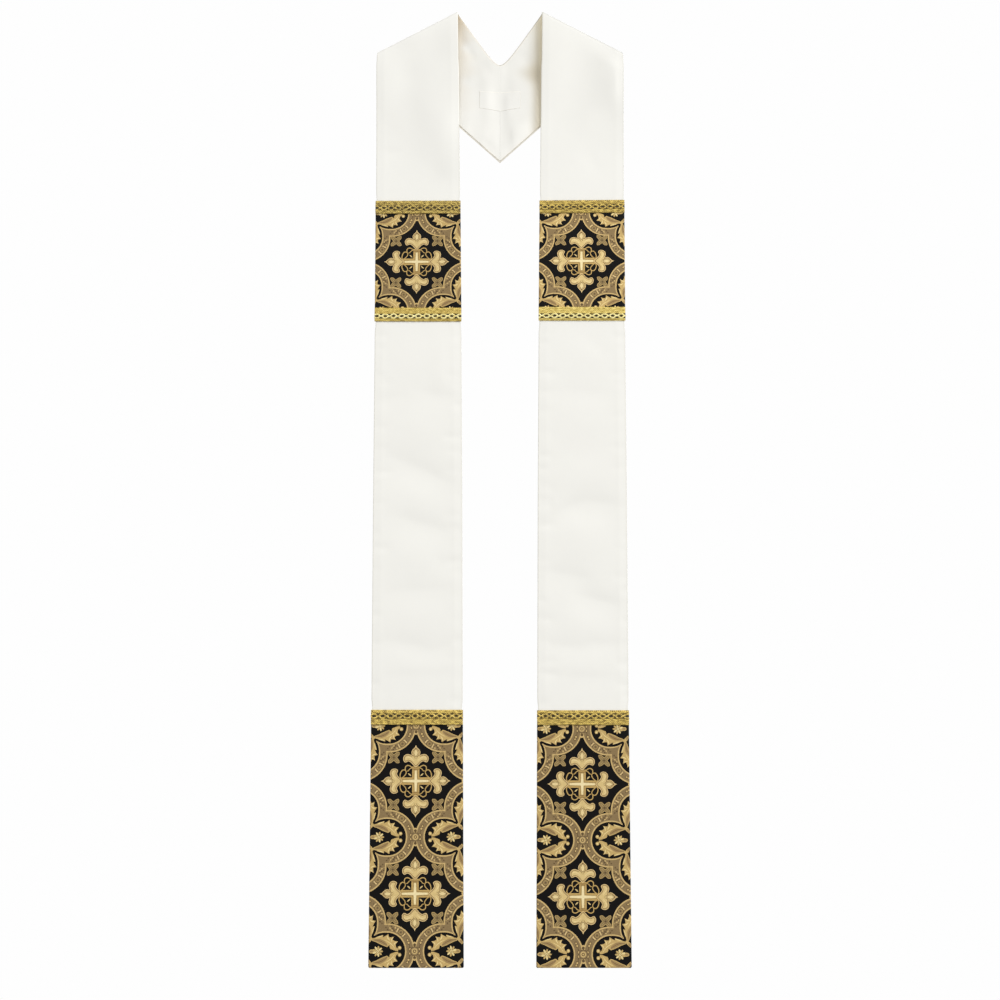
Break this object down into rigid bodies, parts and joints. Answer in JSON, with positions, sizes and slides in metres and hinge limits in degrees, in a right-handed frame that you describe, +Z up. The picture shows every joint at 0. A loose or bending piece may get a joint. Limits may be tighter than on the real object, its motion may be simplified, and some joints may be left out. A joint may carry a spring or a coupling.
{
  "type": "clerical stole",
  "caption": "Long lined white cloth stole laid flat, fronts folded over a V-shaped back neck, with black and gold brocade bands edged in gold braid.",
  "frame": {"origin": "centre of the footprint, on the surface that the stole lies on", "axes": "+Y along the fronts from the hems to the shoulder folds, +X across to the front on the right as seen from above, +Z up; X = 0 is the centre-back seam"},
  "size_m": [0.3516, 1.3232, 0.0129],
  "materials": {
    "outer_cloth": "ivory cloth with a fine weave and a soft satin sheen",
    "lining": "warm ivory lining cloth with a soft sheen",
    "brocade": "black ground with woven gold and taupe crosses and quatrefoils",
    "galloon": "gold braid of metallic thread",
    "label": "plain woven ribbon, blank"
  },
  "bodies": {
    "root": {"outer_front_left": "outer_cloth", "outer_neck_left": "outer_cloth", "lining_front_left": "lining", "lining_neck_left": "lining", "brocade_upper_left": "brocade", "brocade_lower_left": "brocade", "galloon_upper_top_left": "galloon", "galloon_upper_bottom_left": "galloon", "galloon_lower_left": "galloon", "outer_front_right": "outer_cloth", "outer_neck_right": "outer_cloth", "lining_front_right": "lining", "lining_neck_right": "lining", "brocade_upper_right": "brocade", "brocade_lower_right": "brocade", "galloon_upper_top_right": "galloon", "galloon_upper_bottom_right": "galloon", "galloon_lower_right": "galloon", "neck_label": "label"}
  },
  "joints": []
}
